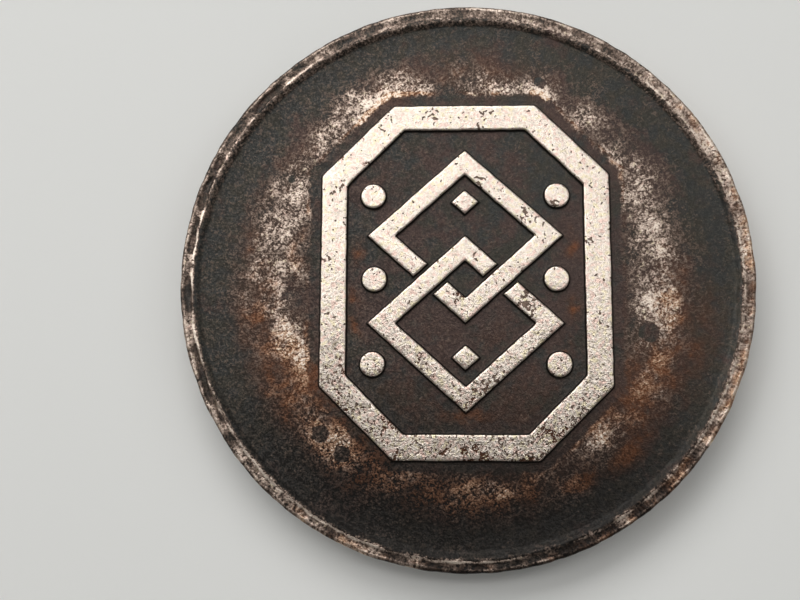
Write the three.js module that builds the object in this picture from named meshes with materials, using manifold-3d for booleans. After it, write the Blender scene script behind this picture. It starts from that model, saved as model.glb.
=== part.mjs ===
// A round silver coin, struck in one piece from one blank. It lies on its reverse.
// Millimetres, +Z up, origin at the middle of the reverse, on the surface that the coin rests on.
// The obverse has a long octagonal frame round two interlaced lozenges, with round studs.
// The reverse has a border of beads and a ringed rosette.

import * as THREE from 'three';
import { mergeVertices, toCreasedNormals } from 'three/addons/utils/BufferGeometryUtils.js';
import Module from 'manifold-3d';

const wasm = await Module();
wasm.setup();

// The blank and its raised rims
const coinDiameter = 41;
const coinThickness = 3.2; // over both rims
const rimWidth = 1.0; // flat top of a rim, with its rounded outer corner
const rimSlopeWidth = 0.55; // sloping inner side of a rim
const rimCornerRadius = 0.25;
const fieldDepth = 0.35; // how far a field lies below its rim
const roundSteps = 120; // facets round the coin
const cornerSteps = 3; // facets on a rounded corner

// The frame on the obverse
const frameWidth = 20.7;
const frameHeight = 25.7;
const frameBar = 1.85;
const frameCornerCut = 5.2; // length that each corner loses along both sides
const obverseRelief = 0.3; // height of the obverse ornament above its field

// The two interlaced lozenges inside the frame
const lozengeBar = 1.35;
const lozengeGap = 1.5; // from the lozenges' tips to the frame
const weaveGap = 0.28; // groove beside the strand that passes over
const jewelWidth = 2.0; // small solid lozenge in each large one
const jewelHeight = 1.8;
const jewelGap = 0.85; // from a jewel to the bars beside it

// The studs between the lozenges and the frame
const studRadius = 0.9;
const studSteps = 20;

// The ornament on the reverse
const reverseRelief = 0.25;
const beadRadius = 0.45;
const beadCount = 48;
const beadGap = 0.75; // from the rim's slope to the beads
const beadSteps = 8;
const rosetteRingRadius = 9.6; // outside of the ring
const rosetteRingWidth = 0.8;
const petalCount = 8;
const petalWidth = 3.2;
const petalGap = 0.8; // from a petal's tip to the ring, and from its root to the boss
const petalSteps = 8; // facets on each side of a petal
const bossRadius = 1.8;

const coinRadius = coinDiameter / 2;
const fieldRadius = coinRadius - rimWidth - rimSlopeWidth;
const obverseField = coinThickness - fieldDepth;
const reverseField = fieldDepth;
const rootDepth = (obverseField - reverseField) / 4; // how far relief runs into the blank before the join
const weldDistance = 1e-5; // vertices nearer to each other than this are one
const creaseAngle = Math.PI / 6; // an edge that turns more than this is shaded sharp

// A closed geometry as a solid for joining and cutting
function solidFrom(geometry) {
  const bare = geometry.clone();
  bare.deleteAttribute('normal');
  bare.deleteAttribute('uv');
  const merged = mergeVertices(bare, weldDistance);
  return new wasm.Manifold(new wasm.Mesh({
    numProp: 3,
    vertProperties: Float32Array.from(merged.attributes.position.array),
    triVerts: Uint32Array.from(merged.index.array),
  }));
}

function geometryFrom(solid) {
  const { vertProperties, triVerts } = solid.getMesh();
  const geometry = new THREE.BufferGeometry();
  geometry.setAttribute('position', new THREE.BufferAttribute(Float32Array.from(vertProperties), 3));
  geometry.setIndex(new THREE.BufferAttribute(Uint32Array.from(triVerts), 1));
  return toCreasedNormals(geometry, creaseAngle);
}

// A flat outline raised between two heights
function raised(shape, bottom, top) {
  const geometry = new THREE.ExtrudeGeometry(shape, { depth: top - bottom, bevelEnabled: false });
  geometry.translate(0, 0, bottom);
  return solidFrom(geometry);
}

function polygon(points) {
  return new THREE.Shape(points.map(([x, y]) => new THREE.Vector2(x, y)));
}

function disc(x, y, radius, steps) {
  const corners = Array.from({ length: steps }, (_, i) => {
    const angle = (i * 2 * Math.PI) / steps;
    return [x + radius * Math.cos(angle), y + radius * Math.sin(angle)];
  });
  return polygon(corners);
}

// The outer corner of a rim as an arc, from the edge's side to the rim's top
function rimCorner(side) {
  const centreZ = side > 0 ? coinThickness - rimCornerRadius : rimCornerRadius;
  return Array.from({ length: cornerSteps + 1 }, (_, i) => {
    const angle = (i / cornerSteps) * (Math.PI / 2);
    return new THREE.Vector2(
      coinRadius - rimCornerRadius + rimCornerRadius * Math.cos(angle),
      centreZ + side * rimCornerRadius * Math.sin(angle),
    );
  });
}

// The blank: a disc with a dished field inside a raised rim on both sides
function blankSolid() {
  const profile = [
    new THREE.Vector2(0, reverseField),
    new THREE.Vector2(fieldRadius, reverseField),
    new THREE.Vector2(coinRadius - rimWidth, 0),
    ...rimCorner(-1).reverse(),
    ...rimCorner(1),
    new THREE.Vector2(coinRadius - rimWidth, coinThickness),
    new THREE.Vector2(fieldRadius, obverseField),
    new THREE.Vector2(0, obverseField),
  ];
  const geometry = new THREE.LatheGeometry(profile, roundSteps);
  geometry.rotateX(Math.PI / 2); // the lathe turns about +Y, the coin's axis is +Z
  return solidFrom(geometry);
}

// A rectangle with its four corners cut at 45 degrees
function cutRectangle(width, height, cut) {
  const x = width / 2;
  const y = height / 2;
  return [
    [x - cut, -y], [x, -y + cut], [x, y - cut], [x - cut, y],
    [-x + cut, y], [-x, y - cut], [-x, -y + cut], [-x + cut, -y],
  ];
}

// The frame's inner corners, one bar in from the outer ones all round
const innerWidth = frameWidth - 2 * frameBar;
const innerHeight = frameHeight - 2 * frameBar;
const innerCornerCut = frameCornerCut - (2 - Math.SQRT2) * frameBar;

function frameShape() {
  const shape = polygon(cutRectangle(frameWidth, frameHeight, frameCornerCut));
  shape.holes.push(polygon(cutRectangle(innerWidth, innerHeight, innerCornerCut)));
  return shape;
}

// Two equal lozenges, one above the other: each one's tip lies at the other's middle
const pairWidth = innerWidth - 2 * lozengeGap;
const pairHeight = innerHeight - 2 * lozengeGap;
const lozengeHalfWidth = pairWidth / 2;
const lozengeHalfHeight = pairHeight / 3;
const lozengeShift = lozengeHalfHeight / 2; // from the coin's middle to a lozenge's middle
const lozengeSlope = lozengeHalfHeight / lozengeHalfWidth;
const slantPerRise = Math.hypot(1, lozengeSlope); // height at a tip for each unit across a bar

function lozengePoints(halfWidth, halfHeight, centreY) {
  return [
    [halfWidth, centreY], [0, centreY + halfHeight],
    [-halfWidth, centreY], [0, centreY - halfHeight],
  ];
}

function lozengeRingShape(centreY) {
  const innerHalfHeight = lozengeHalfHeight - lozengeBar * slantPerRise;
  const innerHalfWidth = innerHalfHeight / lozengeSlope;
  const shape = polygon(lozengePoints(lozengeHalfWidth, lozengeHalfHeight, centreY));
  shape.holes.push(polygon(lozengePoints(innerHalfWidth, innerHalfHeight, centreY)));
  return shape;
}

// The strand that passes over at one crossing, widened by its two grooves. turn is 1 on the
// right, where the upper lozenge's strand is on top, and -1 on the left, where the lower one's is.
function strandCut(turn) {
  const rise = slantPerRise * weaveGap;
  const drop = slantPerRise * (lozengeBar + weaveGap);
  const reach = lozengeHalfWidth / 4 + lozengeBar;
  const middle = lozengeHalfWidth / 2;
  const line = (x) => (x - middle) * lozengeSlope; // outer edge of the strand on the right
  const corners = [
    [middle - reach, line(middle - reach) - rise],
    [middle + reach, line(middle + reach) - rise],
    [middle + reach, line(middle + reach) + drop],
    [middle - reach, line(middle - reach) + drop],
  ];
  return polygon(corners.map(([x, y]) => [turn * x, turn * y]));
}

function lozengePair(bottom, top) {
  const upper = raised(lozengeRingShape(lozengeShift), bottom, top);
  const lower = raised(lozengeRingShape(-lozengeShift), bottom, top);
  const overRight = raised(strandCut(1), bottom, top);
  const overLeft = raised(strandCut(-1), bottom, top);
  return upper.subtract(overLeft).add(lower.subtract(overRight));
}

// The small solid lozenges, each between a large lozenge's tip and the other's tip
function jewelShapes() {
  const halfWidth = jewelWidth / 2;
  const halfHeight = jewelHeight / 2;
  const tip = lozengeShift + lozengeHalfHeight - lozengeBar * slantPerRise; // inner tip of a large lozenge
  const across = Math.max(halfHeight, halfWidth * lozengeSlope); // where the jewel comes nearest the bars
  const centreY = tip - across - jewelGap * slantPerRise;
  return [1, -1].map((side) => polygon(lozengePoints(halfWidth, halfHeight, side * centreY)));
}

// Four studs at the frame's corners and two at its waist. A corner stud lies equally far from the
// frame's side, its cut corner and the lozenge, and a waist stud from the frame and the lozenges.
function studShapes() {
  const side = innerWidth / 2;
  const cutLine = side + innerHeight / 2 - innerCornerCut; // x + y along the cut corner
  const lozengeLine = lozengeShift + lozengeHalfHeight; // y + slope * x along the lozenge's side
  const spare = lozengeSlope * side + cutLine - side - lozengeLine;
  const distance = spare / (slantPerRise + lozengeSlope + Math.SQRT2 - 1);
  const cornerX = side - distance;
  const cornerY = cutLine - cornerX - Math.SQRT2 * distance;
  const notchX = lozengeHalfWidth / 2; // where the two lozenges' outer edges cross
  const waistX = (slantPerRise * side + lozengeSlope * notchX) / (slantPerRise + lozengeSlope);
  const places = [
    [cornerX, cornerY], [-cornerX, cornerY], [-cornerX, -cornerY], [cornerX, -cornerY],
    [waistX, 0], [-waistX, 0],
  ];
  return places.map(([x, y]) => disc(x, y, studRadius, studSteps));
}

function obverseOrnament() {
  const bottom = obverseField - rootDepth;
  const top = obverseField + obverseRelief;
  let ornament = raised(frameShape(), bottom, top).add(lozengePair(bottom, top));
  for (const shape of [...jewelShapes(), ...studShapes()]) {
    ornament = ornament.add(raised(shape, bottom, top));
  }
  return ornament;
}

// A petal is two equal arcs that meet in a point at its root and its tip
function petalShape(root, tip, turn) {
  const halfLength = (tip - root) / 2;
  const halfWidth = petalWidth / 2;
  const radius = (halfLength ** 2 + halfWidth ** 2) / (2 * halfWidth);
  const halfAngle = Math.asin(halfLength / radius);
  const sides = [1, -1].flatMap((side) => Array.from({ length: petalSteps }, (_, i) => {
    const angle = halfAngle * (1 - (2 * i) / petalSteps);
    const along = radius * Math.sin(angle);
    const across = radius * Math.cos(angle) - radius + halfWidth;
    return [root + halfLength + side * along, side * across];
  }));
  const [c, s] = [Math.cos(turn), Math.sin(turn)];
  return polygon(sides.map(([x, y]) => [x * c - y * s, x * s + y * c]));
}

function ringShape(outerRadius, width) {
  const shape = disc(0, 0, outerRadius, roundSteps / 2);
  shape.holes.push(disc(0, 0, outerRadius - width, roundSteps / 2));
  return shape;
}

function reverseOrnament() {
  const bottom = reverseField - reverseRelief;
  const top = reverseField + rootDepth;
  const beadCircle = fieldRadius - beadGap - beadRadius;
  const petalRoot = bossRadius + petalGap;
  const petalTip = rosetteRingRadius - rosetteRingWidth - petalGap;
  const shapes = [ringShape(rosetteRingRadius, rosetteRingWidth), disc(0, 0, bossRadius, studSteps)];
  for (let i = 0; i < petalCount; i += 1) {
    shapes.push(petalShape(petalRoot, petalTip, (i * 2 * Math.PI) / petalCount));
  }
  for (let i = 0; i < beadCount; i += 1) {
    const angle = (i * 2 * Math.PI) / beadCount;
    shapes.push(disc(beadCircle * Math.cos(angle), beadCircle * Math.sin(angle), beadRadius, beadSteps));
  }
  return shapes.map((shape) => raised(shape, bottom, top)).reduce((all, one) => all.add(one));
}

function tonedSilver() {
  return new THREE.MeshStandardMaterial({ color: 0x9a8f84, roughness: 0.45, metalness: 0.9 });
}

function struckCoin() {
  const solid = blankSolid().add(obverseOrnament()).add(reverseOrnament());
  const mesh = new THREE.Mesh(geometryFrom(solid), tonedSilver());
  mesh.name = 'struck_coin';
  return mesh;
}

const coin = new THREE.Group();
coin.add(struckCoin());

export default coin;
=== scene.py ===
"""A struck silver coin with worn rims and toned fields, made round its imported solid."""

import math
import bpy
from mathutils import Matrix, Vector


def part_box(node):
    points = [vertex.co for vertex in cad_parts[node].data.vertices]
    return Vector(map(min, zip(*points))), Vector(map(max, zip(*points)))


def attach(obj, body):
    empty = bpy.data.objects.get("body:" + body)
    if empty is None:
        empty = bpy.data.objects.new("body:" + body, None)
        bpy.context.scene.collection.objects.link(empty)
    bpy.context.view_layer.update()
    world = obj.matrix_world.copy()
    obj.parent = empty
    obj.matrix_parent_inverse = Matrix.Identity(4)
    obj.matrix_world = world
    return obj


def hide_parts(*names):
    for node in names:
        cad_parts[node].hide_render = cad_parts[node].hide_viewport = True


bl_info = {
    "name": "Toned Silver Coin",
    "version": (1, 0, 0),
    "blender": (4, 5, 0),
    "location": "View3D > Sidebar > Coin",
    "description": "Strikes a worn silver coin with raised ornament, tones its metal and lights it",
    "category": "Object",
}

import bpy
import numpy as np
from bpy.props import FloatProperty, FloatVectorProperty, IntProperty, PointerProperty
from mathutils import Matrix, Vector, noise
from mathutils.geometry import delaunay_2d_cdt

MM = 0.001
COIN_NODE = "struck_coin"
COIN_NAME = "worn_coin"

# Values that each point of the coin's mesh carries for its finish
GAP = "ornament_gap"  # millimetres from the nearest ornament's edge, negative on its top
RUB = "rub"  # share of the surface that is rubbed through to silver
WARM = "warm"  # how brown the toning is, and past a half how orange, 0 to 1
FOLD = "fold"  # 1 in the folded pockets along the rim's top, 0 outside of them

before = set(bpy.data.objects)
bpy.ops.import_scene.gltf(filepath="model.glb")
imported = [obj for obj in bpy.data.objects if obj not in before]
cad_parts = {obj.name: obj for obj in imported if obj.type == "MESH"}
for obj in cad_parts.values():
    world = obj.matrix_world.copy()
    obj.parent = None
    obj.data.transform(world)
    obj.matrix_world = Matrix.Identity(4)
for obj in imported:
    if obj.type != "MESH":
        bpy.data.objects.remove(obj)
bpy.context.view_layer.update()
coin_low, coin_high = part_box(COIN_NODE)


def length(name, value, about):
    """A size in metres, given in millimetres."""
    return FloatProperty(name=name, description=about, default=value * MM, unit="LENGTH", precision=5)


def tint(name, red, green, blue, about):
    """A colour given as it looks on a screen, from 0 to 255, and kept as linear light."""
    shares = [channel / 255 for channel in (red, green, blue)]
    linear = [s / 12.92 if s <= 0.04045 else ((s + 0.055) / 1.055) ** 2.4 for s in shares]
    return FloatVectorProperty(name=name, description=about, default=linear, subtype="COLOR", min=0, max=1)


class BlankSizes(bpy.types.PropertyGroup):
    """Sizes of the blank and its rims."""

    diameter: length("Diameter", (coin_high.x - coin_low.x) / MM, "Across the coin")
    thickness: length("Thickness", (coin_high.z - coin_low.z) / MM, "Over both rims")
    rim_width: length("Rim width", 1.0, "Flat top of a rim with its rounded outer corner")
    rim_slope: length("Rim slope", 0.55, "Width of a rim's sloping inner side")
    rim_corner: length("Rim corner", 0.25, "Radius of a rim's outer corner")
    field_depth: length("Field depth", 0.35, "From a rim's top down to its field")
    rim_steps: IntProperty(name="Rim steps", description="Facets round the coin", default=1000)
    obverse_grain: length("Obverse facets", 0.245, "Size of the facets on the obverse field")
    reverse_grain: length("Reverse facets", 0.34, "Size of the facets on the reverse field")


class ObverseSizes(bpy.types.PropertyGroup):
    """Sizes of the frame, the lozenges and the studs."""

    frame_width: length("Frame width", 20.7, "Across the frame")
    frame_height: length("Frame height", 25.7, "From the frame's bottom to its top")
    frame_bar: length("Frame bar", 1.85, "Width of the frame's bars")
    corner_cut: length("Corner cut", 5.2, "What a corner loses along both sides")
    relief: length("Relief", 0.3, "Height of the ornament above the field")
    lozenge_bar: length("Lozenge bar", 1.35, "Width of the lozenges' bars")
    lozenge_gap: length("Lozenge gap", 1.5, "From the lozenges' tips to the frame")
    weave_gap: length("Weave gap", 0.28, "Groove beside a strand that passes over")
    jewel_width: length("Jewel width", 2.0, "Across a small solid lozenge")
    jewel_height: length("Jewel height", 1.8, "Height of a small solid lozenge")
    jewel_gap: length("Jewel gap", 0.85, "From a small lozenge to the bars beside it")
    stud_radius: length("Stud radius", 0.9, "Radius of a round stud")


class ReverseSizes(bpy.types.PropertyGroup):
    """Sizes of the beads and the rosette."""

    relief: length("Relief", 0.25, "Height of the ornament above the field")
    bead_radius: length("Bead radius", 0.45, "Radius of a bead")
    bead_gap: length("Bead gap", 0.75, "From the rim's slope to the beads")
    bead_count: IntProperty(name="Beads", description="Number of beads", default=48)
    ring_radius: length("Ring radius", 9.6, "Outside of the rosette's ring")
    ring_width: length("Ring width", 0.8, "Width of the rosette's ring")
    petal_count: IntProperty(name="Petals", description="Number of petals", default=8)
    petal_width: length("Petal width", 3.2, "Across a petal")
    petal_gap: length("Petal gap", 0.8, "From a petal to the ring and to the boss")
    boss_radius: length("Boss radius", 1.8, "Radius of the boss in the middle")


class WearAmounts(bpy.types.PropertyGroup):
    """How far handling has changed the struck shape."""

    edge_wobble: length("Edge wobble", 0.03, "How far the ornament's edges wander")
    field_swell: length("Field swell", 0.04, "Rise of the field half way to the rim")
    field_waves: length("Field waves", 0.02, "Height of the field's gentle waves")
    dish_width: length("Dish width", 1.5, "Width of the field's upturned border")
    dish_rise: length("Dish rise", 0.07, "Height of the field's upturned border")
    top_dents: length("Ornament dents", 0.02, "Depth of the shallow dents on the ornament")
    fold_depth: length("Rim fold", 0.13, "Depth of the folded pockets along the rim's top")
    ridge_depth: length("Rim ridges", 0.05, "Depth of the fine ridges across the rim")
    ridge_pitch: length("Ridge pitch", 0.27, "From one fine ridge to the next")
    rim_dents: length("Rim dents", 0.07, "Depth of the knocks on a rim's top")
    rim_groove: length("Rim groove", 0.04, "Depth of the shallow groove round a rim's top")
    rim_shift: length("Rim shift", 0.08, "How far the rim's inner edge lies off the middle, towards -Y")
    outline_loss: length("Outline loss", 0.07, "How far the coin's outline is knocked in")


class ToneColours(bpy.types.PropertyGroup):
    """Colours of the bare and the toned silver."""

    bare: tint("Bare silver", 243, 232, 220, "Brightest silver on the ornament's tops")
    dim: tint("Dim silver", 212, 197, 183, "Darker grain on the ornament's tops")
    bright: tint("Bright grain", 226, 211, 196, "Brightest grains where the toning is worn through")
    worn: tint("Worn silver", 190, 171, 157, "Silver that shows through the toning")
    dull: tint("Dull silver", 106, 90, 80, "Silver with a thin brown film")
    # Dull silver also gives painted shade on the worn silver and the ornament's tops towards the bottom
    copper: tint("Copper film", 138, 92, 62, "Orange film round the worn places")
    amber: tint("Amber film", 186, 148, 116, "Orange film on the worn silver")
    straw: tint("Straw tint", 226, 212, 174, "Faint yellow on silver")
    rose: tint("Rose tint", 224, 188, 174, "Faint pink on silver")
    slate: tint("Slate toning", 56, 57, 55, "Cool grey toning")
    moss: tint("Moss toning", 60, 58, 52, "Greenish grey toning")
    plum: tint("Plum toning", 72, 59, 55, "Purple brown toning")
    umber: tint("Umber toning", 84, 58, 45, "Brown toning round the worn places")
    rust: tint("Rust toning", 124, 74, 42, "Orange toning in the brown one")
    # Soot also gives painted shade: along the ornament's foot and over the lower part of the coin
    soot_and_shade: tint("Soot", 24, 21, 19, "Dirt in pits and corners")


class StageSettings(bpy.types.PropertyGroup):
    """The table, the light from all round and the camera."""

    table: tint("Table", 232, 232, 229, "Colour of the table top")
    table_radius: length("Table radius", 1400, "Radius of the flat table top")
    sweep_radius: length("Sweep radius", 700, "Radius of the table's border, which curves up")
    room: tint("Room", 203, 203, 201, "Colour of the light from all round")
    room_level: FloatProperty(name="Room level", description="Strength of that light", default=0.33)
    lens: FloatProperty(name="Lens", description="Focal length", default=49.84, unit="CAMERA")


GROUPS = {
    "blank": BlankSizes,
    "obverse": ObverseSizes,
    "reverse": ReverseSizes,
    "wear": WearAmounts,
    "tones": ToneColours,
    "stage": StageSettings,
}


class CoinSettings(bpy.types.PropertyGroup):
    """Everything about the coin that a user would change."""

    blank: PointerProperty(type=BlankSizes, name="Blank", description="Sizes of the blank")
    obverse: PointerProperty(type=ObverseSizes, name="Obverse", description="Sizes on the obverse")
    reverse: PointerProperty(type=ReverseSizes, name="Reverse", description="Sizes on the reverse")
    wear: PointerProperty(type=WearAmounts, name="Wear", description="Amounts of wear")
    tones: PointerProperty(type=ToneColours, name="Tones", description="Colours of the metal")
    stage: PointerProperty(type=StageSettings, name="Stage", description="Table, light and camera")


# Flat shapes. Each one gives the signed distance from its edge, negative inside, and its outline
# moved outwards by an offset, as closed loops of points. All in metres.


def loop_between(corners, spacing):
    """A closed loop through the corners, with points at most about a spacing apart."""
    points = []
    for start, end in zip(corners, np.roll(corners, -1, axis=0)):
        steps = max(1, round(np.linalg.norm(end - start) / spacing))
        points.append(start + (end - start) * (np.arange(steps) / steps)[:, None])
    return np.concatenate(points)


class ConvexShape:
    """A shape bounded by straight sides, given by its corners in turn, anticlockwise."""

    SOFTNESS = 0.03 * MM  # how far two sides blend into each other at their corner

    def __init__(self, corners):
        self.corners = np.array(corners, float)
        sides = np.roll(self.corners, -1, axis=0) - self.corners
        normals = np.stack([sides[:, 1], -sides[:, 0]], axis=1)
        self.normals = normals / np.linalg.norm(normals, axis=1)[:, None]
        self.reaches = (self.normals * self.corners).sum(axis=1)

    def gap(self, x, y):
        """The farthest side counts. Near a corner two count, so worn corners lie a little lower."""
        gaps = self.normals[:, 0, None] * x + self.normals[:, 1, None] * y - self.reaches[:, None]
        most = gaps.max(axis=0)
        return most + self.SOFTNESS * np.log(np.exp((gaps - most) / self.SOFTNESS).sum(axis=0))

    def loops(self, offset, spacing):
        normals, reaches = self.normals, self.reaches + offset
        moved = np.array([np.linalg.solve(normals[[i - 1, i]], reaches[[i - 1, i]])
                          for i in range(len(normals))])
        before, after = (np.roll(c, -1, axis=0) - c for c in (self.corners, moved))
        if (before * after).sum(axis=1).min() <= 0:
            return []
        return [loop_between(moved, spacing)]


class DiscShape:
    """A round shape."""

    def __init__(self, x, y, radius):
        self.x, self.y, self.radius = x, y, radius

    def gap(self, x, y):
        return np.hypot(x - self.x, y - self.y) - self.radius

    def loops(self, offset, spacing):
        radius = self.radius + offset
        if radius <= spacing / 4:
            return []
        turns = np.linspace(0, 2 * math.pi, max(12, round(2 * math.pi * radius / spacing)), endpoint=False)
        return [np.stack([self.x + radius * np.cos(turns), self.y + radius * np.sin(turns)], axis=1)]


class PetalShape:
    """A shape between two equal arcs that meet in points, on a line out from the middle."""

    def __init__(self, root, tip, width, turn):
        half_length, half_width = (tip - root) / 2, width / 2
        self.radius = (half_length**2 + half_width**2) / width
        self.back = self.radius - half_width  # from the petal's line to an arc's centre
        self.middle = (root + tip) / 2
        self.turn = turn

    def gap(self, x, y):
        along = x * math.cos(self.turn) + y * math.sin(self.turn) - self.middle
        across = np.abs(y * math.cos(self.turn) - x * math.sin(self.turn))
        return np.hypot(along, across + self.back) - self.radius

    def loops(self, offset, spacing):
        radius = self.radius + offset
        if radius <= self.back + spacing / 2:
            return []
        half_angle = math.acos(self.back / radius)
        steps = max(4, round(2 * half_angle * radius / spacing))
        angles = half_angle * (1 - 2 * np.arange(steps) / steps)
        along = radius * np.sin(angles)
        across = radius * np.cos(angles) - self.back
        along = self.middle + np.concatenate([along, -along])
        across = np.concatenate([across, -across])
        c, s = math.cos(self.turn), math.sin(self.turn)
        return [np.stack([along * c - across * s, along * s + across * c], axis=1)]


class CutShape:
    """A shape with other shapes taken out of it."""

    def __init__(self, shape, *cutters):
        self.shape, self.cutters = shape, cutters

    def gap(self, x, y):
        gap = self.shape.gap(x, y)
        for cutter in self.cutters:
            gap = np.maximum(gap, -cutter.gap(x, y))
        return gap

    def loops(self, offset, spacing):
        found = self.shape.loops(offset, spacing)
        for cutter in self.cutters:
            found += cutter.loops(-offset, spacing)
        return found


def cut_rectangle(width, height, cut):
    """A rectangle whose four corners are cut at 45 degrees."""
    x, y = width / 2, height / 2
    return ConvexShape([
        (x - cut, -y), (x, -y + cut), (x, y - cut), (x - cut, y),
        (-x + cut, y), (-x, y - cut), (-x, -y + cut), (-x + cut, -y),
    ])


def lozenge(half_width, half_height, middle_y):
    return ConvexShape([
        (half_width, middle_y), (0, middle_y + half_height),
        (-half_width, middle_y), (0, middle_y - half_height),
    ])


def obverse_shapes(size):
    """The frame, the two interlaced lozenges, the small solid ones and the studs."""
    inner_width = size.frame_width - 2 * size.frame_bar
    inner_height = size.frame_height - 2 * size.frame_bar
    inner_cut = size.corner_cut - (2 - math.sqrt(2)) * size.frame_bar
    shapes = [CutShape(cut_rectangle(size.frame_width, size.frame_height, size.corner_cut),
                       cut_rectangle(inner_width, inner_height, inner_cut))]

    half_width = inner_width / 2 - size.lozenge_gap
    half_height = (inner_height - 2 * size.lozenge_gap) / 3
    shift = half_height / 2
    slope = half_height / half_width
    slant = math.hypot(1, slope)
    hollow = half_height - size.lozenge_bar * slant
    middle, reach = half_width / 2, half_width / 4 + size.lozenge_bar
    rise, drop = slant * size.weave_gap, slant * (size.lozenge_bar + size.weave_gap)
    strand = [(middle - reach, -reach * slope - rise), (middle + reach, reach * slope - rise),
              (middle + reach, reach * slope + drop), (middle - reach, -reach * slope + drop)]
    # Each lozenge passes under the other at one crossing, where the strand over it is cut out of it
    for turn in (1, -1):
        shapes.append(CutShape(
            lozenge(half_width, half_height, -turn * shift),
            lozenge(hollow / slope, hollow, -turn * shift),
            ConvexShape([(turn * x, turn * y) for x, y in strand]),
        ))

    across = max(size.jewel_height / 2, size.jewel_width / 2 * slope)
    jewel_y = shift + hollow - across - size.jewel_gap * slant
    shapes += [lozenge(size.jewel_width / 2, size.jewel_height / 2, side * jewel_y) for side in (1, -1)]

    # Studs lie in the frame's corners and beside the waist, as far from the frame as from the lozenges
    side = inner_width / 2
    cut_line = side + inner_height / 2 - inner_cut
    spare = slope * side + cut_line - side - shift - half_height
    distance = spare / (slant + slope + math.sqrt(2) - 1)
    corner_x = side - distance
    corner_y = cut_line - corner_x - math.sqrt(2) * distance
    waist_x = (slant * side + slope * half_width / 2) / (slant + slope)
    places = [(x, y) for x in (corner_x, -corner_x) for y in (corner_y, -corner_y)]
    places += [(waist_x, 0), (-waist_x, 0)]
    return shapes + [DiscShape(x, y, size.stud_radius) for x, y in places]


def reverse_shapes(size, field_radius):
    """The rosette in its ring, and the border of beads."""
    shapes = [
        CutShape(DiscShape(0, 0, size.ring_radius), DiscShape(0, 0, size.ring_radius - size.ring_width)),
        DiscShape(0, 0, size.boss_radius),
    ]
    root = size.boss_radius + size.petal_gap
    tip = size.ring_radius - size.ring_width - size.petal_gap
    for i in range(size.petal_count):
        shapes.append(PetalShape(root, tip, size.petal_width, 2 * math.pi * i / size.petal_count))
    circle = field_radius - size.bead_gap - size.bead_radius
    for i in range(size.bead_count):
        turn = 2 * math.pi * i / size.bead_count
        shapes.append(DiscShape(circle * math.cos(turn), circle * math.sin(turn), size.bead_radius))
    return shapes


def least_gap(shapes, x, y):
    """Distance from the edge of the nearest shape, negative inside it."""
    return np.min([shape.gap(x, y) for shape in shapes], axis=0)


SEED_STEP = np.array([17.3, 5.1, 9.7])  # how far apart the noises of two seeds lie


def rough(x, y, size, seed, octaves=1, z=0.0):
    """Smooth noise from -1 to 1 whose features are about the given size."""
    heights = np.broadcast_to(z, x.shape)
    points = np.stack([x, y, heights], axis=1) / size + seed * SEED_STEP
    if octaves == 1:
        return np.array([noise.noise(p) for p in points])
    return np.array([noise.fractal(p, 1, 2, octaves) for p in points])


def ease(value, low, high):
    """0 at low, 1 at high and smooth between."""
    share = np.clip((value - low) / (high - low), 0, 1)
    return share * share * (3 - 2 * share)


# The side of a raised bar: distance out from its edge, in millimetres, and share of its height there
BAR_SIDE = ((0.16, 0), (0.09, 0.03), (0.03, 0.14), (-0.02, 0.8), (-0.07, 0.96), (-0.15, 1))

# Spacing of the points along the ornament's edges, and room kept clear beside these edges and inside
# the ring round the field, as shares of a facet's size
ALONG_EDGES, BESIDE_EDGES, INSIDE_RING = 0.62, 0.3, 0.6

# The field: width of its calm border, and radius and width of its swell
CALM_BORDER = 1.5 * MM
SWELL_RADIUS, SWELL_WIDTH = 13.8 * MM, 2.6 * MM

# Strips of faces round each part of a rim, and round the edge between the rims
RIM_STRIPS = {"slope": 6, "top": 8, "corner": 4, "edge": 5}
# Share of the knocks' depth that each of these parts takes
KNOCK_SHARES = {"slope": 0.35, "top": 1.0, "corner": 0.8, "edge": 0.0}

# Where fine ridges cross the obverse rim and where its top is folded, in degrees
RIDGED_ARC = (284, 338)
FOLDED_ARC = (124, 216)
# Share of facets added in the ridged arc, and samples per facet to place them
RIDGED_CROWDING, TURN_SAMPLES = 1.8, 20
# Marks on the rim's top: how far in from the outline they lie, and their half widths
GROOVE_INSET, GROOVE_REACH, FOLD_REACH = 0.6 * MM, 0.27 * MM, 0.34 * MM
RIDGE_INSET, RIDGE_REACH = 0.62 * MM, 0.36 * MM

# Places worn through to silver: angle and half width in degrees, distance from the middle and half
# depth in millimetres, and share of silver. Angles run anticlockwise from the right of the obverse.
WORN_PLACES = (
    (-7, 13, 13.6, 1.6, 0.66), (11, 13, 13.5, 1.4, 0.52), (30, 14, 13.8, 1.5, 0.42),
    (50, 14, 14.3, 1.6, 0.46), (70, 13, 14.1, 1.7, 0.78), (103, 10, 14.9, 1.0, 0.3),
    (115, 16, 14.1, 2.1, 0.88), (134, 17, 13.6, 1.9, 0.38), (160, 18, 13.6, 2.2, 0.5),
    (176, 16, 13.9, 2.4, 0.5), (203, 12, 13.2, 1.5, 0.7), (231, 9, 14.6, 1.4, 0.58),
    (276, 6, 14.9, 0.8, 0.5), (312, 7, 14.5, 0.9, 0.44), (331, 9, 14.6, 1.1, 0.38),
)
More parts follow.
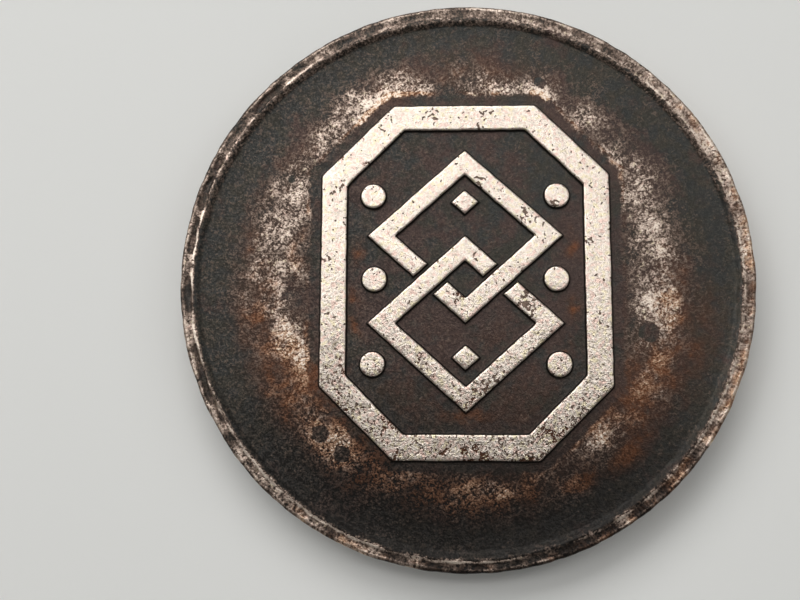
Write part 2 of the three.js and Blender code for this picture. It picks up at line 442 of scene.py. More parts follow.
# Brown and orange places, in the same terms, with how warm they are
WARM_PLACES = (
    (-14, 8, 8.0, 0.6, 0.7), (164, 8, 8.0, 0.6, 0.75), (18, 8, 8.1, 0.6, 0.65),
    (188, 6, 8.1, 0.5, 0.7), (201, 6, 8.7, 0.5, 0.7), (-38, 6, 8.9, 0.5, 0.6),
    (135, 6, 9.5, 0.6, 0.6), (270, 8, 9.8, 0.6, 0.6), (172, 10, 12.2, 0.8, 0.4),
    (214, 18, 13.6, 2.6, 0.56), (330, 16, 14.8, 1.9, 0.5), (150, 22, 15.0, 1.5, 0.2),
    (192, 20, 15.0, 1.7, 0.44), (240, 15, 15.0, 2.0, 0.52), (354, 16, 15.0, 1.5, 0.4),
    (92, 26, 15.6, 1.5, 0.25), (272, 20, 15.6, 1.5, 0.5), (170, 12, 15.7, 1.0, 0.3),
    (300, 6, 16.3, 0.6, 0.64), (312, 7, 16.8, 0.8, 0.72), (344, 14, 17.2, 1.2, 0.34),
    (10, 40, 20.2, 0.6, 0.4), (250, 30, 20.2, 0.6, 0.4), (320, 36, 20.2, 0.6, 0.6),
)
# How silver the rim's top is: angle and half width in degrees, and change of the share of silver
RIM_PLACES = (
    (25, 40, 0.14), (30, 14, 0.12), (62, 10, -0.1), (87, 12, 0.24), (78, 22, -0.1), (108, 20, -0.2),
    (138, 16, -0.1), (285, 32, -0.36), (340, 25, 0.06), (172, 13, -0.14), (190, 24, 0.06),
    (225, 18, -0.06),
)
# A faint silver ring between the worn places: distance from the middle and half depth. Painted
# light on the rim's slope in the top half, as extra silver: where it comes in. All in millimetres.
RING_DISTANCE, RING_DEPTH = 14.0, 2.1
TOP_SLOPE_LIGHT = (18.95, 19.2)
# Towards its top the rim's silver starts farther out: heights between which that comes in, and how
# far it goes in the share of silver and in the finish, in millimetres
TOP_FROM, TOP_TO = 16.5, 18.8
TOP_SHIFT, TOP_SHIFT_PAINTED = 0.12, 0.14
# How far in from the outline the share of silver turns from the field's to the rim's
RIM_SILVER_FROM, RIM_SILVER_TO = 1.1 * MM, 0.95 * MM
# Beyond these gaps to the ornament, in millimetres, the finish is the same
GAP_LIMITS = (-3, 6)
# Dark round spots on the worn places: x, y and radius in millimetres
DARK_SPOTS = (
    (-10.2, -11.0, 0.62), (-8.7, -12.4, 0.58), (12.9, -3.8, 0.7), (5.6, 14.6, 0.42), (6.2, 12.9, 0.36),
    (-13.0, -1.2, 0.34), (-12.6, 7.4, 0.3),
)


def strongest(x, y, places):
    """The strongest of the places at each point, with soft borders."""
    radius, angle = np.hypot(x, y) / MM, np.degrees(np.arctan2(y, x))
    found = np.zeros(len(x))
    for place_angle, half_width, distance, half_depth, strength in places:
        around = (angle - place_angle + 180) % 360 - 180
        off = (around / half_width) ** 2 + ((radius - distance) / half_depth) ** 2
        found = np.maximum(found, strength * np.exp(-0.7 * off**1.5))
    return found


def silver_share(x, y, depth, rim_share):
    """Share of silver that shows: the worn places, the ring between them, the rims and the edge, and painted
    light on the top slope.
    """
    radius, angle = np.hypot(x, y) / MM, np.arctan2(y, x)
    ring = (0.27 + 0.1 * np.sin(angle + 0.1)) * np.exp(-(((radius - RING_DISTANCE) / RING_DEPTH) ** 2))
    cloud = rough(x, y, 1.8 * MM, 41, 4)
    field = np.maximum(strongest(x, y, WORN_PLACES), ring)
    field = field * (1.02 + 0.8 * cloud) + 0.06 * cloud
    # Painted light: extra silver on the rim's slope in the top half, which faces away from the lamps
    field = np.maximum(field, 0.3 * ease(np.sin(angle), 0, 0.6) * ease(radius, *TOP_SLOPE_LIGHT))
    rim = 0.47 + 0.44 * rough(x, y, 1.6 * MM, 43, 2, depth)
    for place_angle, half_width, change in RIM_PLACES:
        around = (np.degrees(angle) - place_angle + 180) % 360 - 180
        rim += change * np.exp(-((around / half_width) ** 2))
    return np.clip(field + (rim - field) * rim_share, 0, 1)


def warmth(x, y):
    """How brown and orange the toning is."""
    return np.clip(strongest(x, y, WARM_PLACES) * (1 + rough(x, y, 1.3 * MM, 47, 3)), 0, 1)


def face_points(shapes, ring, spacing):
    """Flat points and triangles that fill the ring and follow the shapes' edges.

    Also gives the index of each of the ring's own points."""
    points = [ring]
    edges = [np.stack([np.arange(len(ring)), np.roll(np.arange(len(ring)), -1)], axis=1)]
    count = len(ring)
    for shape in shapes:
        for offset, _ in BAR_SIDE:
            for loop in shape.loops(offset * MM, spacing * ALONG_EDGES):
                places = count + np.arange(len(loop))
                points.append(loop)
                edges.append(np.stack([places, np.roll(places, -1)], axis=1))
                count += len(loop)
    radius = np.hypot(*ring[0])
    row_height = spacing * math.sqrt(3) / 2
    rows = np.arange(-int(radius / row_height), int(radius / row_height) + 1)
    columns = np.arange(-int(radius / spacing) - 1, int(radius / spacing) + 2)
    column, row = np.meshgrid(columns, rows)
    x = (column + 0.5 * (row % 2)).ravel() * spacing
    y = row.ravel() * row_height
    clear = (np.hypot(x, y) < radius - spacing * INSIDE_RING) & (
        np.abs(least_gap(shapes, x, y)) > BAR_SIDE[0][0] * MM + spacing * BESIDE_EDGES)
    points.append(np.stack([x, y], axis=1)[clear])
    flat = np.concatenate(points) / MM
    corners, _, triangles, origins, _, _ = delaunay_2d_cdt(
        [Vector(p) for p in flat], np.concatenate(edges).tolist(), [], 0, 1e-5)
    places = {source: index for index, sources in enumerate(origins) for source in sources}
    return np.array([(c.x, c.y) for c in corners]) * MM, triangles, [places[i] for i in range(len(ring))]


def calm_share(radius, field_radius):
    """1 over the field and 0 at its edge, where it has to meet the rim's slope."""
    return ease(radius, field_radius, field_radius - CALM_BORDER)


def face_height(gap, x, y, relief, field_radius, wear, seed):
    """Height above the flat field: the ornament, the upturned border, the swell, waves and dents."""
    radius = np.hypot(x, y)
    offsets, shares = zip(*reversed(BAR_SIDE))
    raised = np.interp(gap / MM, offsets, shares)
    dish = np.clip((radius - field_radius + wear.dish_width) / wear.dish_width, 0, 1) ** 2
    swell = wear.field_swell * np.exp(-(((radius - SWELL_RADIUS) / SWELL_WIDTH) ** 2))
    waves = calm_share(radius, field_radius) * (wear.field_waves * rough(x, y, 3.2 * MM, seed, 3))
    dents = wear.top_dents * np.clip(rough(x, y, 1.1 * MM, seed + 1, 2), 0, 1)
    return raised * (relief - dents) + (1 - raised) * (swell + wear.dish_rise * dish + waves)


def strip_ends(kind, start, end):
    """Where the strips of a part of the rim end, from the part's start to its end."""
    return np.linspace(start, end, RIM_STRIPS[kind] + 1)[1:]


def rim_rows(blank, wear):
    """Radius, height and kind of each row from the obverse field over the edge to the reverse field."""
    radius = blank.diameter / 2
    inner, corner = radius - blank.rim_width, blank.rim_corner
    half = []
    for share in strip_ends("slope", 0, 1):
        depth = (blank.field_depth - wear.dish_rise) * (1 - share * share * (3 - 2 * share))
        half.append((inner - blank.rim_slope * (1 - share), -depth, "slope"))
    for share in strip_ends("top", 0, 1):
        half.append((inner + share * (radius - corner - inner), 0.0, "top"))
    for turn in strip_ends("corner", 0, math.pi / 2):
        half.append((radius - corner * (1 - math.sin(turn)), corner * (math.cos(turn) - 1), "corner"))
    rows = [(r, blank.thickness + z, kind) for r, z, kind in half]
    wall = blank.thickness - 2 * corner
    rows += [(radius, corner + wall * share, "edge") for share in strip_ends("edge", 1, 0)[:-1]]
    return rows + [(r, -z, kind) for r, z, kind in reversed(half)]


def arc_share(turns, arc, border=7):
    """1 within an arc, 0 outside of it and smooth at its ends. In degrees."""
    degrees = np.degrees(turns) % 360
    return ease(degrees, arc[0], arc[0] + border) * ease(degrees, arc[1], arc[1] - border)


def rim_turns(steps):
    """Angles of the rim's facets, which lie closer where the fine ridges are."""
    fine = np.linspace(0, 2 * math.pi, TURN_SAMPLES * steps)
    travelled = np.cumsum(1 + RIDGED_CROWDING * arc_share(fine, RIDGED_ARC))
    travelled = (travelled - travelled[0]) / (travelled[-1] - travelled[0])
    return np.interp(np.arange(steps) / steps, travelled, fine)


def worn_row(radius, height, kind, turns, blank, wear):
    """One row of the rim with its folds, ridges, knocks and lost outline."""
    front = height > blank.thickness / 2
    side, seed = (1, 3) if front else (-1, 23)
    outline = blank.diameter / 2
    inner = outline - blank.rim_width
    x, y = radius * np.cos(turns), radius * np.sin(turns)
    out_share = ease(radius, inner, outline)
    loss = wear.outline_loss * out_share * np.clip(0.3 + rough(x, y, 1.5 * MM, seed, 3, height / 3), 0, 1)
    down = KNOCK_SHARES[kind] * wear.rim_dents * np.clip(rough(x, y, 0.8 * MM, seed + 1, 2) - 0.05, 0, 1)
    inward = wear.rim_shift * np.sin(turns) * (1 - out_share) * ease(radius, inner - blank.rim_slope, inner)
    off_groove = np.abs(radius - outline + GROOVE_INSET + 0.16 * MM * rough(x, y, 1.2 * MM, seed + 2, 3))
    fold = np.zeros(len(turns))
    if kind == "slope":
        loss = wear.edge_wobble * 2.5 * rough(x, y, 1.2 * MM, seed + 4, 2) * ease(
            radius, inner - blank.rim_slope, inner - blank.rim_slope / 2)
    if kind == "top":
        down = down + wear.rim_groove * np.exp(-((off_groove / GROOVE_REACH) ** 4))
    if kind == "top" and front:
        pocket = np.clip(0.3 + 1.9 * rough(x, y, 1.9 * MM, seed + 3, 2), 0, 1)
        pocket = pocket * arc_share(turns, FOLDED_ARC, 12)
        fold = ease(FOLD_REACH * np.sqrt(pocket) - off_groove, 0, 0.1 * MM)
        phase = outline * turns / wear.ridge_pitch + 1.1 * rough(x, y, 1.0 * MM, seed + 5)
        strength = arc_share(turns, RIDGED_ARC, 16) * np.clip(0.6 + rough(x, y, 1.6 * MM, seed + 6), 0, 1)
        reach = np.exp(-(((radius - outline + RIDGE_INSET) / RIDGE_REACH) ** 4))
        ridge = strength * reach * (0.5 + 0.5 * np.cos(2 * math.pi * phase)) ** 2
        down = down + wear.fold_depth * fold + wear.ridge_depth * ridge
    shrink = (radius - loss - inward) / radius
    return np.stack([x * shrink, y * shrink, height - side * down], axis=1), fold


def coin_surface(settings):
    """The whole coin as one closed surface: its points, their gaps to the ornament and shares of the
    rim's folds, and its faces."""
    blank, wear = settings.blank, settings.wear
    field_radius = blank.diameter / 2 - blank.rim_width - blank.rim_slope
    turns = rim_turns(blank.rim_steps)
    ring = field_radius * np.stack([np.cos(turns), np.sin(turns)], axis=1)
    reverse = settings.reverse
    obverse_field = blank.thickness - blank.field_depth
    sides = {
        1: (obverse_shapes(settings.obverse), settings.obverse.relief, obverse_field, blank.obverse_grain),
        -1: (reverse_shapes(reverse, field_radius), reverse.relief, blank.field_depth, blank.reverse_grain),
    }
    points, gaps, folds, faces, rows, count = [], [], [], [], [], 0
    for side, (shapes, relief, field, spacing) in sides.items():
        flat, triangles, on_ring = face_points(shapes, ring, spacing)
        x, y = flat.T
        gap = least_gap(shapes, x, y)
        height = face_height(gap, x, y, relief, field_radius, wear, 20 + side)
        wander = wear.edge_wobble * calm_share(np.hypot(x, y), field_radius)
        points.append(np.stack([
            x + wander * rough(x, y, 0.9 * MM, 7, 2),
            y + wander * rough(x, y, 0.9 * MM, 8, 2),
            field + side * height,
        ], axis=1))
        gaps.append(gap)
        folds.append(np.zeros(len(flat)))
        faces += [tuple(count + i for i in triangle[::side]) for triangle in triangles]
        rows.append([count + i for i in on_ring])
        count += len(flat)
    steps = len(turns)
    chain = [rows[0]]
    for radius, height, kind in rim_rows(blank, wear):
        row, fold = worn_row(radius, height, kind, turns, blank, wear)
        shapes = sides[1 if height > blank.thickness / 2 else -1][0]
        points.append(row)
        gaps.append(least_gap(shapes, row[:, 0], row[:, 1]))
        folds.append(fold)
        chain.append(list(range(count, count + steps)))
        count += steps
    chain.append(rows[1])
    for upper, lower in zip(chain, chain[1:]):
        faces += [(upper[i - 1], lower[i - 1], lower[i], upper[i]) for i in range(steps)]
    return np.concatenate(points), np.concatenate(gaps), np.concatenate(folds), faces


class Wire:
    """A number at a socket. Python's operators on it add Math nodes."""

    def __init__(self, bench, socket):
        self.bench, self.socket = bench, socket

    def __add__(self, other):
        return self.bench.math("ADD", self, other)

    def __sub__(self, other):
        return self.bench.math("SUBTRACT", self, other)

    def __rsub__(self, other):
        return self.bench.math("SUBTRACT", other, self)

    def __mul__(self, other):
        return self.bench.math("MULTIPLY", self, other)

    def __truediv__(self, other):
        return self.bench.math("DIVIDE", self, other)

    __radd__ = __add__
    __rmul__ = __mul__

    def band(self, middle, half_width):
        """1 at the middle, falling to 0 at the half width on both sides."""
        return self.bench.math("ABSOLUTE", self - middle).step(half_width, 0)

    def step(self, low, high):
        """0 below low, 1 above high and smooth between. Low may be above high."""
        node = self.bench.add(
            "ShaderNodeMapRange", {"interpolation_type": "SMOOTHSTEP"},
            {"Value": self, "From Min": low, "From Max": high})
        return Wire(self.bench, node.outputs[0])


class Bench:
    """A material's nodes while it is being made."""

    def __init__(self, name):
        self.material = bpy.data.materials.new(name)
        self.material.use_nodes = True
        self.tree = self.material.node_tree
        self.tree.nodes.clear()
        self.millimetres = self.add("ShaderNodeVectorMath", {"operation": "SCALE"}, {
            0: self.add("ShaderNodeTexCoord").outputs["Object"], "Scale": 1 / MM}).outputs[0]

    def add(self, kind, settings=None, sockets=None):
        """Adds a node: its settings first, then the values or wires of its sockets."""
        node = self.tree.nodes.new(kind)
        for name, value in (settings or {}).items():
            setattr(node, name, value)
        for key, value in (sockets or {}).items():
            if isinstance(value, Wire):
                value = value.socket
            if isinstance(value, bpy.types.NodeSocket):
                self.tree.links.new(value, node.inputs[key])
            else:
                node.inputs[key].default_value = value
        return node

    def math(self, operation, *values):
        """The result of a Math node."""
        node = self.add("ShaderNodeMath", {"operation": operation}, dict(enumerate(values)))
        return Wire(self, node.outputs[0])

    def point_value(self, name):
        """A value that the mesh's points carry."""
        return Wire(self, self.add("ShaderNodeAttribute", {"attribute_name": name}).outputs["Fac"])

    def noise(self, size, seed, detail=2.0, roughness=0.5, place=None, distortion=0.0):
        """Noise from 0 to 1 with features of a size in millimetres."""
        node = self.add("ShaderNodeTexNoise", {"noise_dimensions": "4D"}, {
            "Vector": place or self.millimetres, "W": seed, "Scale": 1 / size,
            "Detail": detail, "Roughness": roughness, "Distortion": distortion})
        return Wire(self, node.outputs["Fac"])

    def streaks(self, angle, run, width, seed):
        """Wavy strokes along an angle in degrees, run long and width wide in millimetres."""
        turned = self.add("ShaderNodeMapping", {"vector_type": "TEXTURE"}, {
            "Vector": self.millimetres, "Rotation": (0, 0, math.radians(angle)), "Scale": (run, width, 1)})
        return self.noise(1, seed, 1, 0.5, turned.outputs[0], 0.7)

    def mix(self, share, low, high):
        """Goes from one colour to another."""
        low, high = (c if isinstance(c, bpy.types.NodeSocket) else (*c, 1.0) for c in (low, high))
        node = self.add("ShaderNodeMix", {"data_type": "RGBA"}, {0: share, 6: low, 7: high})
        return node.outputs[2]

    def finish(self, shader):
        self.add("ShaderNodeOutputMaterial", None, {0: shader.outputs[0]})
        return self.material


def toned_silver(settings):
    """Worn silver: bright on the ornament and the rims, toned grey and brown in the fields."""
    bench = Bench("toned_silver")
    tones, blank = settings.tones, settings.blank
    outline, inner = blank.diameter / 2 / MM, (blank.diameter / 2 - blank.rim_width) / MM
    apart = bench.add("ShaderNodeSeparateXYZ", None, {0: bench.millimetres})
    x, y, z = (Wire(bench, apart.outputs[i]) for i in range(3))
    radius = bench.math("SQRT", x * x + y * y)
    gap, rub, warm, fold = (bench.point_value(name) for name in (GAP, RUB, WARM, FOLD))

    # Grain of several sizes, short strokes, sharp flakes, thin wavy lines and ragged islands
    fine = bench.noise(0.12, 1, 1)
    grain = bench.noise(0.24, 2, 2)
    speck = bench.noise(0.5, 3, 3, 0.6)
    clump = bench.noise(1.3, 4, 3, 0.6)
    cloud = bench.noise(3.6, 5, 3, 0.6)
    hue = bench.noise(0.4, 6, 2)
    shade = bench.noise(1.1, 7, 2)
    strokes = 0.6 * bench.streaks(38, 1.3, 0.15, 16) + 0.4 * bench.streaks(104, 0.8, 0.15, 17)
    flakes = (grain + 0.5 * (fine - 0.5)).step(0.4, 0.6)
    worms = bench.noise(0.42, 18, 1).band(0.5, 0.035)
    islands = (0.45 * speck + 0.25 * grain + 0.3 * clump).step(0.48, 0.53)

    # The rim's marks run along and across it, and a broken bright line follows each border, partly
    # worn silver and partly a painted highlight on its rounded edge
    around = [x * outline / radius, y * outline / radius]
    along, across = (bench.add("ShaderNodeCombineXYZ", None, dict(enumerate([*around, third]))).outputs[0]
                     for third in (radius * 3.5 + z, radius * 0.3 + z * 0.5))
    drawn = bench.noise(0.9, 12, 3, 0.6, along)
    nicks = bench.noise(0.22, 14, 2, 0.5, across)
    upper = y.step(TOP_FROM, TOP_TO)
    reach = radius + y / radius * (settings.wear.rim_shift / MM) - TOP_SHIFT_PAINTED * upper
    rim = (reach + 0.12 * (drawn - 0.5)).step(inner, inner + 0.1)
    broken = bench.noise(2.6, 13, 2, 0.5, along).step(0.4, 0.56)
    # The inner line is painted brighter at the lower left: partly worn silver, partly painted highlight
    lower_left_wear_and_highlight = (x + y).step(-9, -20)
    inner_wear_and_highlight = (reach + 0.3 * (drawn - 0.5) + 0.2 * (speck - 0.5)).band(inner + 0.14, 0.16)
    inner_wear_and_highlight = inner_wear_and_highlight * (broken + 0.5 * lower_left_wear_and_highlight * (1 - broken)) * (1 - 0.7 * upper)
    outer_wear_and_highlight = (radius + 0.2 * (drawn - 0.5)).band(outline - 0.24, 0.14) * (1.2 - 0.6 * broken)
    pattern = 0.36 * fine + 0.24 * grain + 0.1 * speck + 0.05 * clump + 0.25 * strokes
    rim_pattern = 0.24 * fine + 0.2 * grain + 0.08 * speck + 0.24 * drawn + 0.24 * nicks

    # Beside the ornament lies a clean dark halo, which ends in a brown line
    wander = 0.5 * (speck - 0.5) + 0.4 * (clump - 0.5)
    halo = (gap + wander).step(0.98, 0.62) * (1 - rim)
    fringe = (gap + wander).band(1.0, 0.3) * (1 - rim) * cloud.step(0.4, 0.55)
    spot = 0
    for spot_x, spot_y, size in DARK_SPOTS:
        off_x, off_y = x - spot_x, y - spot_y
        off = off_x * off_x + off_y * off_y + 0.5 * (speck - 0.5)
        spot = bench.math("MAXIMUM", spot, off.step(size * size * 1.25, size * size * 0.8))

    # How much silver shows, which grows in grains. Marks and dirt are stronger low down.
    low = y.step(3, -14)
    cover = rub * (1 - halo) * (1 - 0.85 * spot) + rim * (
        (0.45 + 0.4 * lower_left_wear_and_highlight) * inner_wear_and_highlight + 0.25 * outer_wear_and_highlight - 0.4 * fold)
    cover = bench.math("MAXIMUM", cover, 0)
    grit = 0.5 * fine + 0.5 * grain
    pepper = (grit + 0.2 * (clump - 0.5)).step(0.45, 0.38)
    gain = 1.1 + (6 - rim * 1.2) * cover * (1.4 - cover)
    level = cover + gain * (1 + 0.3 * low * (1 - rim)) * (pattern + rim * (rim_pattern - pattern) - 0.5)
    chips = (0.2 - 0.08 * rim) * (flakes - 0.5) + (0.4 - 0.34 * rim) * (islands - 0.5) - 0.14 * worms
    level = level + chips * cover * (1.3 - cover)
    level = level * (1 - 0.45 * pepper)

    # Toning: grey, greenish or purple brown, warmer by the worn places, then dots, hairs, dirt and a
    # darkening towards the bottom that is partly toning and partly painted shade
    scatter = 0.9 * (speck - 0.5) + 0.7 * (clump - 0.5)
    warmth = (warm + rub * 0.4 + fringe * rub * 1.1) * (1 - spot) + scatter
    warmth = warmth + 0.3 * low * radius.step(18, 15.5)
    cool = (cloud + 0.3 * (speck - 0.5) + 0.4 * (clump - 0.5) - radius.step(15.5, 18) * 0.14).step(0.4, 0.6)
    toning = bench.mix(shade.step(0.42, 0.58), tones.slate, tones.moss)
    toning = bench.mix(cool, toning, tones.plum)
    toning = bench.mix((warmth - 0.5 * scatter).step(-0.06, 0.6) * (0.8 - 0.5 * halo), toning, tones.umber)
    toning = bench.mix(warmth.step(0.5, 1.1) * (0.76 - 0.66 * halo * (1 - warm)), toning, tones.rust)
    dots = (bench.noise(0.34, 19, 1) + 0.25 * (cloud - 0.5)).step(0.66, 0.72)
    hairs = bench.streaks(62, 3.2, 0.07, 20).step(0.73, 0.78)
    hairs = hairs + bench.streaks(-24, 2.6, 0.07, 21).step(0.74, 0.79)
    toning = bench.mix((dots * 0.45 + hairs * 0.35) * (1 - 0.7 * halo), toning, tones.dull)
    left = x.step(6, -12)
    toning = bench.mix(grit.step(0.5, 0.66) * (0.22 + 0.3 * left), toning, tones.dull)
    # Darker towards the bottom, partly toning and partly painted shade; dark grit adds dirt, more to the
    # left
    dirt_and_low_shade = (y + 2 * (cloud - 0.5)).step(-4, -17) * 0.72 + grit.step(0.54, 0.4) * (0.26 + 0.26 * left)
    dirt_and_low_shade = bench.math("MINIMUM", dirt_and_low_shade, 1)
    toning = bench.mix(dirt_and_low_shade, toning, tones.soot_and_shade)

    # The silver that shows through, from dull and coppery to its brightest grains, darker towards the
    # bottom partly by painted shade
    dull = bench.mix(warmth.step(0.3, 1.0) * 0.62, tones.dull, tones.copper)
    dull = bench.mix(dirt_and_low_shade * 0.5, dull, tones.soot_and_shade)
    worn = bench.mix(hue.step(0.42, 0.3) * 0.5, tones.worn, tones.straw)
    worn = bench.mix(hue.step(0.58, 0.7) * 0.5, worn, tones.rose)
    worn = bench.mix(warmth.step(0.5, 1.0) * 0.8, worn, tones.amber)
    # Painted shade: the worn silver of the fields turns dull towards the bottom
    worn = bench.mix(y.step(0, -17) * (0.45 - 0.45 * rim), worn, tones.dull)
    colour = bench.mix(level.step(0.04, 0.46), toning, dull)
    colour = bench.mix(level.step(0.32, 0.95), colour, worn)
    colour = bench.mix(level.step(0.8, 1.25), colour, tones.bright)

    # Ornament tops: bare silver with a fine grain, flecks, clustered pits and short scratches. Towards
    # the bottom they are darker: painted shade dims the silver, and flecks and stains grow, partly as
    # painted shade.
    mottle = 0.4 * grain + 0.3 * fine + 0.2 * speck + 0.1 * clump
    flecks = (grit + 0.35 * (clump - 0.5)).step(0.55, 0.6)
    cluster = bench.noise(2.4, 9, 1).step(0.58, 0.7)
    pits = (bench.noise(0.26, 8, 1) + 0.16 * cluster + 0.03 * low).step(0.67, 0.71)
    scratches = bench.streaks(35, 1.1, 0.06, 10).step(0.73, 0.77)
    stains = (bench.noise(1.4, 22, 3, 0.65) + 0.1 * low).step(0.63, 0.69) * (grit + 0.2).step(0.62, 0.74)
    marks = flecks * (0.32 + 0.7 * low) + pits + scratches * 0.8 + stains * (0.6 + 0.5 * low)
    # Painted shade: the tops' dim grain turns dull towards the bottom
    dim = bench.mix(low * 0.5, tones.dim, tones.dull)
    bare = bench.mix(mottle.step(0.38, 0.6), dim, tones.bare)
    bare = bench.mix(hue.step(0.5, 0.65) * 0.7, bare, tones.rose)
    bare = bench.mix(hue.step(0.48, 0.35) * 0.7, bare, tones.straw)
    bare = bench.mix(marks.step(0, 1), bare, bench.mix(stains, tones.dull, tones.umber))
    top = (gap + 0.05 * (fine - 0.5)).step(0.01, -0.05)
    colour = bench.mix(top, colour, bare)
    # Painted shade: a dark line along the foot of the ornament's steep sides, where their shadow falls
    painted_foot_shade = gap.step(-0.03, 0.01) * gap.step(0.14, 0.06)
    colour = bench.mix(painted_foot_shade * 0.8, colour, tones.soot_and_shade)

    # Bare silver is smoother and more metallic than the toning
    silver = level.step(0.3, 0.9)
    bright = silver + top - silver * top
    roughness = 0.47 - 0.07 * silver - 0.15 * top + 0.2 * (grain - 0.5)
    metallic = 0.8 + 0.2 * bright
    relief = grain + 0.8 * fine + 0.8 * speck + 0.6 * level.step(0, 1) - 0.9 * top * marks
    bump = bench.add("ShaderNodeBump", None, {"Strength": 0.78, "Distance": 0.035 * MM, "Height": relief})
    return bench.finish(bench.add("ShaderNodeBsdfPrincipled", None, {
        "Base Color": colour, "Roughness": roughness, "Metallic": metallic, "Normal": bump.outputs[0]}))


def pale_table(settings):
    """A pale matt table top."""
    bench = Bench("pale_table")
    pale = settings.stage.table
    colour = bench.mix(bench.noise(40, 11), pale, [channel * 0.97 for channel in pale])
    return bench.finish(bench.add("ShaderNodeBsdfPrincipled", None, {
        "Base Color": colour, "Roughness": 0.6, "Specular IOR Level": 0.2}))


class COIN_OT_strike(bpy.types.Operator):
    """Strike the coin: its blank, rims and ornament as one worn solid."""

    bl_idname = "coin.strike"
    bl_label = "Strike Coin"

    def execute(self, context):
        settings = context.scene.coin
        points, gaps, folds, faces = coin_surface(settings)
        mesh = bpy.data.meshes.new(COIN_NAME)
        mesh.from_pydata(points.tolist(), [], faces)
        mesh.update()
        mesh.shade_smooth()
        outline = settings.blank.diameter / 2
        x, y = points[:, 0], points[:, 1]
        reach = np.hypot(x, y) - TOP_SHIFT * MM * ease(y, TOP_FROM * MM, TOP_TO * MM)
        rim_share = ease(reach, outline - RIM_SILVER_FROM, outline - RIM_SILVER_TO)
        depth = points[:, 2] - settings.blank.thickness
        on_reverse = (depth < -settings.blank.thickness / 2) & (rim_share < 0.5)
        x = np.where(on_reverse, -x, x)
        values = {GAP: np.clip(gaps / MM, *GAP_LIMITS), FOLD: folds,
                  RUB: silver_share(x, y, depth, rim_share), WARM: warmth(x, y)}
        for name, numbers in values.items():
            layer = mesh.attributes.new(name, "FLOAT", "POINT")
            layer.data.foreach_set("value", numbers.astype(np.float32))
        coin = bpy.data.objects.new(COIN_NAME, mesh)
        context.scene.collection.objects.link(coin)
        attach(coin, "root")
        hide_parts(COIN_NODE)
        return {"FINISHED"}


class COIN_OT_tone(bpy.types.Operator):
    """Give the coin its toned and worn silver."""

    bl_idname = "coin.tone"
    bl_label = "Tone Silver"

    def execute(self, context):
        bpy.data.objects[COIN_NAME].data.materials.append(toned_silver(context.scene.coin))
        return {"FINISHED"}


# The photograph's camera, from the middle of the obverse rim's plane, in millimetres
CAMERA_PLACE = (-1.23, -13.83, 77.7)
CAMERA_AHEAD = (-0.0433, 0.1563, -0.9868)
CAMERA_UP = (0.0027, 0.9877, 0.1563)
SENSOR_WIDTH = 36.0  # millimetres
NEAREST, FARTHEST = 0.005, 10  # what the camera sees, in metres

# Facets round the table, rings of its curved border, and how far below the coin it lies
TABLE_STEPS, BORDER_RINGS, TABLE_DROP = 64, 9, 0.02 * MM

# Lamps: name, place, width and height in millimetres, and brightness
LAMPS = (
    ("ceiling_light", (4, 64, 290), (260, 44), 3.12),
    ("back_window", (-100, 320, 340), (440, 250), 3.3),
    ("left_window", (-700, 260, 720), (600, 600), 1.8),
    ("right_window", (720, 260, 720), (600, 600), 1.1),
)


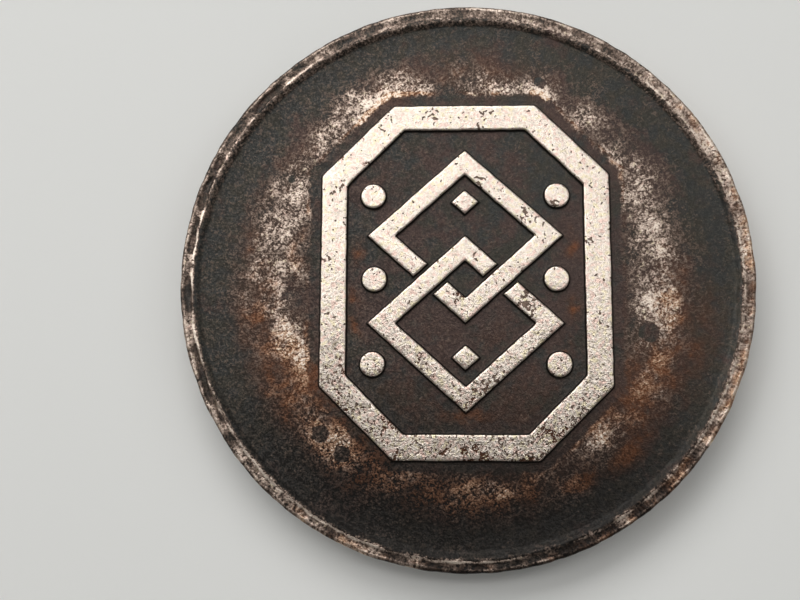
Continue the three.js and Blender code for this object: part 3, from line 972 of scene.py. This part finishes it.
class COIN_OT_stage(bpy.types.Operator):
    """Set the table, the lamps and the camera."""

    bl_idname = "coin.stage"
    bl_label = "Set Stage"

    def execute(self, context):
        scene = context.scene
        scene.view_settings.view_transform = "Standard"
        self.camera(scene)
        self.table(scene)
        self.lamps(scene)
        self.room(scene)
        return {"FINISHED"}

    def camera(self, scene):
        data = bpy.data.cameras.new("camera")
        data.sensor_width, data.lens = SENSOR_WIDTH, scene.coin.stage.lens
        data.clip_start, data.clip_end = NEAREST, FARTHEST
        camera = bpy.data.objects.new("camera", data)
        ahead = Vector(CAMERA_AHEAD).normalized()
        right = ahead.cross(Vector(CAMERA_UP)).normalized()
        camera.matrix_world = Matrix((right, right.cross(ahead), -ahead)).transposed().to_4x4()
        camera.location = Vector(CAMERA_PLACE) * MM + Vector((0, 0, scene.coin.blank.thickness))
        scene.collection.objects.link(camera)
        scene.camera = camera

    def table(self, scene):
        flat, bend, steps = scene.coin.stage.table_radius, scene.coin.stage.sweep_radius, TABLE_STEPS
        climbs = np.linspace(0, math.pi / 2, BORDER_RINGS)
        rings = [(flat + bend * math.sin(climb), bend * (1 - math.cos(climb))) for climb in climbs]
        points = [(radius * math.cos(2 * math.pi * i / steps), radius * math.sin(2 * math.pi * i / steps), z)
                  for radius, z in rings for i in range(steps)]
        faces = [tuple(range(steps))]
        for row in range(len(rings) - 1):
            for i in range(steps):
                start, end = row * steps + i, row * steps + (i + 1) % steps
                faces.append((start, start + steps, end + steps, end))
        mesh = bpy.data.meshes.new("table")
        mesh.from_pydata(points, [], faces)
        mesh.shade_smooth()
        mesh.materials.append(pale_table(scene.coin))
        table = bpy.data.objects.new("table", mesh)
        table.location.z = -TABLE_DROP
        scene.collection.objects.link(table)

    def lamps(self, scene):
        for name, place, (width, height), brightness in LAMPS:
            data = bpy.data.lights.new(name, "AREA")
            data.shape = "RECTANGLE"
            data.size, data.size_y = width * MM, height * MM
            data.energy = brightness * math.pi * data.size * data.size_y
            lamp = bpy.data.objects.new(name, data)
            lamp.location = Vector(place) * MM
            lamp.rotation_euler = (-lamp.location).to_track_quat("-Z", "Y").to_euler()
            scene.collection.objects.link(lamp)

    def room(self, scene):
        world = bpy.data.worlds.new("room")
        world.use_nodes = True
        back = world.node_tree.nodes["Background"]
        back.inputs["Color"].default_value = (*scene.coin.stage.room, 1)
        back.inputs["Strength"].default_value = scene.coin.stage.room_level
        scene.world = world


STEPS = (COIN_OT_stage, COIN_OT_strike, COIN_OT_tone)


class COIN_PT_panel(bpy.types.Panel):
    """Lists the coin's steps and settings."""

    bl_label = "Coin"
    bl_idname = "COIN_PT_panel"
    bl_space_type = "VIEW_3D"
    bl_region_type = "UI"
    bl_category = "Coin"

    def draw(self, context):
        for step in STEPS:
            self.layout.operator(step.bl_idname)
        for name, group in GROUPS.items():
            box = self.layout.box()
            box.label(text=name.capitalize())
            for setting in group.__annotations__:
                box.prop(getattr(context.scene.coin, name), setting)


CLASSES = (*GROUPS.values(), CoinSettings, *STEPS, COIN_PT_panel)


def register():
    for one in CLASSES:
        bpy.utils.register_class(one)
    bpy.types.Scene.coin = PointerProperty(type=CoinSettings)


def unregister():
    del bpy.types.Scene.coin
    for one in reversed(CLASSES):
        bpy.utils.unregister_class(one)


def main():
    register()
    bpy.ops.coin.stage()
    bpy.ops.coin.strike()
    bpy.ops.coin.tone()


if __name__ == "__main__":
    main()
